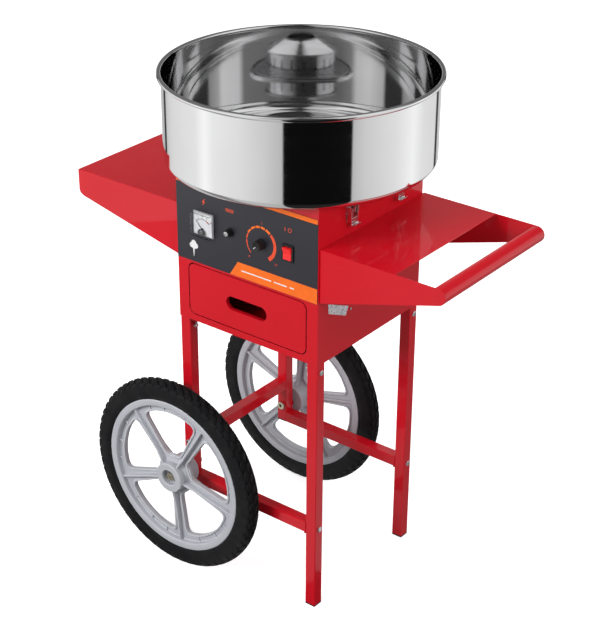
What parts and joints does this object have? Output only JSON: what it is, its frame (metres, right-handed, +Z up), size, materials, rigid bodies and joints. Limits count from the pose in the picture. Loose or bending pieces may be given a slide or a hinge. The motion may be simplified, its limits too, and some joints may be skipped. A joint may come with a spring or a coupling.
{
  "type": "cotton candy machine",
  "caption": "Cotton candy machine on a red cart: steel bowl round a spinning head, control panel, drawer, two shelves, push handle and two spoked wheels.",
  "frame": {"origin": "on the floor under the spinner axis, which is the centre of the overall box's bottom face", "axes": "+Z up along the spinner axis, -Y towards the operator's control panel, +X towards the push handle"},
  "size_m": [0.851, 0.52, 1.026],
  "materials": {
    "red_paint": "high gloss red powder coat",
    "polished_steel": "mirror polished stainless sheet",
    "zinc_steel": "bright zinc plate",
    "yellow_zinc": "yellow zinc plate",
    "head_aluminium": "satin",
    "wheel_plastic": "moulded, slightly grained",
    "tyre_rubber": "solid foam tyre",
    "panel_film": "printed film on sheet",
    "black_plastic": "glossy",
    "clear_plastic": "clear",
    "dial_card": "printed card",
    "white_plastic": "glossy",
    "red_rocker": "translucent red",
    "brass": "turned",
    "carbon": "pressed carbon",
    "heater_alloy": "dark wound ribbon",
    "rubber": "soft",
    "phenolic": "moulded"
  },
  "bodies": {
    "cart": {"cart_cabinet": "red_paint", "machine_housing": "red_paint", "deck_plate": "polished_steel", "control_panel": "panel_film", "rear_cover": "red_paint", "left_shelf": "red_paint", "right_shelf": "red_paint", "push_handle": "red_paint", "front_left_leg": "red_paint", "front_right_leg": "red_paint", "rear_left_leg": "red_paint", "rear_right_leg": "red_paint", "leg_end_caps": "black_plastic", "leg_sockets": "red_paint", "front_rail": "red_paint", "rear_rail": "red_paint", "axle_rail": "red_paint", "frame_bolts": "zinc_steel", "axle_sleeves": "zinc_steel", "axle_bolts": "yellow_zinc", "drawer_runners": "zinc_steel", "latch_bases": "zinc_steel", "motor_casing": "zinc_steel", "motor_bracket": "zinc_steel", "motor_isolators": "rubber", "brush_holder": "phenolic", "carbon_brushes": "carbon", "voltmeter_case": "white_plastic", "voltmeter_dial": "dial_card", "voltmeter_cover": "clear_plastic", "fuse_holder": "black_plastic", "heat_regulator": "phenolic", "switch_frame": "black_plastic", "power_inlet": "black_plastic", "sheet_screws": "zinc_steel"},
    "front_road_wheel": {"front_wheel": "wheel_plastic", "front_tyre": "tyre_rubber"},
    "rear_road_wheel": {"rear_wheel": "wheel_plastic", "rear_tyre": "tyre_rubber"},
    "spinner": {"head_disc": "head_aluminium", "head_band": "head_aluminium", "heater_ring": "heater_alloy", "head_lid": "head_aluminium", "motor_shaft": "zinc_steel", "slip_rings": "brass"},
    "bowl_body": {"bowl": "polished_steel", "bowl_catches": "zinc_steel"},
    "drawer_body": {"drawer": "red_paint"},
    "knob": {"temperature_knob": "black_plastic"},
    "rocker": {"power_rocker": "red_rocker"},
    "fuse_plug": {"fuse_cap": "black_plastic"},
    "meter_needle": {"voltmeter_needle": "black_plastic"},
    "front_left_lever_body": {"front_left_latch_lever": "zinc_steel"},
    "front_left_bail_body": {"front_left_latch_bail": "zinc_steel"},
    "front_right_lever_body": {"front_right_latch_lever": "zinc_steel"},
    "front_right_bail_body": {"front_right_latch_bail": "zinc_steel"},
    "rear_left_lever_body": {"rear_left_latch_lever": "zinc_steel"},
    "rear_left_bail_body": {"rear_left_latch_bail": "zinc_steel"},
    "rear_right_lever_body": {"rear_right_latch_lever": "zinc_steel"},
    "rear_right_bail_body": {"rear_right_latch_bail": "zinc_steel"}
  },
  "joints": [
    {"name": "front_wheel_spin", "type": "hinge", "parent": "cart", "child": "front_road_wheel", "pos_m": [-0.1525, -0.2, 0.205], "axis": [0, 1, 0], "continuous": true},
    {"name": "rear_wheel_spin", "type": "hinge", "parent": "cart", "child": "rear_road_wheel", "pos_m": [-0.1525, 0.2, 0.205], "axis": [0, 1, 0], "continuous": true},
    {"name": "spinner_spin", "type": "hinge", "parent": "cart", "child": "spinner", "pos_m": [0, 0, 0.86], "axis": [0, 0, 1], "continuous": true},
    {"name": "bowl_lift", "type": "slide", "parent": "cart", "child": "bowl_body", "axis": [0, 0, 1], "range_m": [0, 0.25]},
    {"name": "drawer_slide", "type": "slide", "parent": "cart", "child": "drawer_body", "axis": [0, -1, 0], "range_m": [0, 0.22]},
    {"name": "knob_turn", "type": "hinge", "parent": "cart", "child": "knob", "pos_m": [0.0372, -0.17, 0.7474], "axis": [0, -1, 0], "range_deg": [-281, 0]},
    {"name": "rocker_tilt", "type": "hinge", "parent": "cart", "child": "rocker", "pos_m": [0.098, -0.1622, 0.7475], "axis": [1, 0, 0], "range_deg": [-16, 0]},
    {"name": "fuse_cap_turn", "type": "hinge", "parent": "cart", "child": "fuse_plug", "pos_m": [-0.036, -0.165, 0.7495], "axis": [0, 1, 0], "range_deg": [0, 90]},
    {"name": "needle_swing", "type": "hinge", "parent": "cart", "child": "meter_needle", "pos_m": [-0.0977, -0.1666, 0.7395], "axis": [0, 1, 0], "range_deg": [0, 90], "stiffness_Nm_per_rad": 0.0005},
    {"name": "front_left_lever_swing", "type": "hinge", "parent": "cart", "child": "front_left_lever_body", "pos_m": [-0.1745, -0.072, 0.822], "axis": [0, 1, 0], "range_deg": [0, 90]},
    {"name": "front_left_bail_swing", "type": "hinge", "parent": "front_left_lever_body", "child": "front_left_bail_body", "pos_m": [-0.1698, -0.072, 0.813], "axis": [0, 1, 0], "range_deg": [-100, 0]},
    {"name": "front_right_lever_swing", "type": "hinge", "parent": "cart", "child": "front_right_lever_body", "pos_m": [0.1745, -0.072, 0.822], "axis": [0, -1, 0], "range_deg": [0, 90]},
    {"name": "front_right_bail_swing", "type": "hinge", "parent": "front_right_lever_body", "child": "front_right_bail_body", "pos_m": [0.1698, -0.072, 0.813], "axis": [0, -1, 0], "range_deg": [-100, 0]},
    {"name": "rear_left_lever_swing", "type": "hinge", "parent": "cart", "child": "rear_left_lever_body", "pos_m": [-0.1745, 0.072, 0.822], "axis": [0, 1, 0], "range_deg": [0, 90]},
    {"name": "rear_left_bail_swing", "type": "hinge", "parent": "rear_left_lever_body", "child": "rear_left_bail_body", "pos_m": [-0.1698, 0.072, 0.813], "axis": [0, 1, 0], "range_deg": [-100, 0]},
    {"name": "rear_right_lever_swing", "type": "hinge", "parent": "cart", "child": "rear_right_lever_body", "pos_m": [0.1745, 0.072, 0.822], "axis": [0, -1, 0], "range_deg": [0, 90]},
    {"name": "rear_right_bail_swing", "type": "hinge", "parent": "rear_right_lever_body", "child": "rear_right_bail_body", "pos_m": [0.1698, 0.072, 0.813], "axis": [0, -1, 0], "range_deg": [-100, 0]}
  ],
  "couplings": [
    {"joint": "front_left_bail_swing", "follows": "front_left_lever_swing", "ratio": -1.1},
    {"joint": "front_right_bail_swing", "follows": "front_right_lever_swing", "ratio": -1.1},
    {"joint": "rear_left_bail_swing", "follows": "rear_left_lever_swing", "ratio": -1.1},
    {"joint": "rear_right_bail_swing", "follows": "rear_right_lever_swing", "ratio": -1.1}
  ]
}
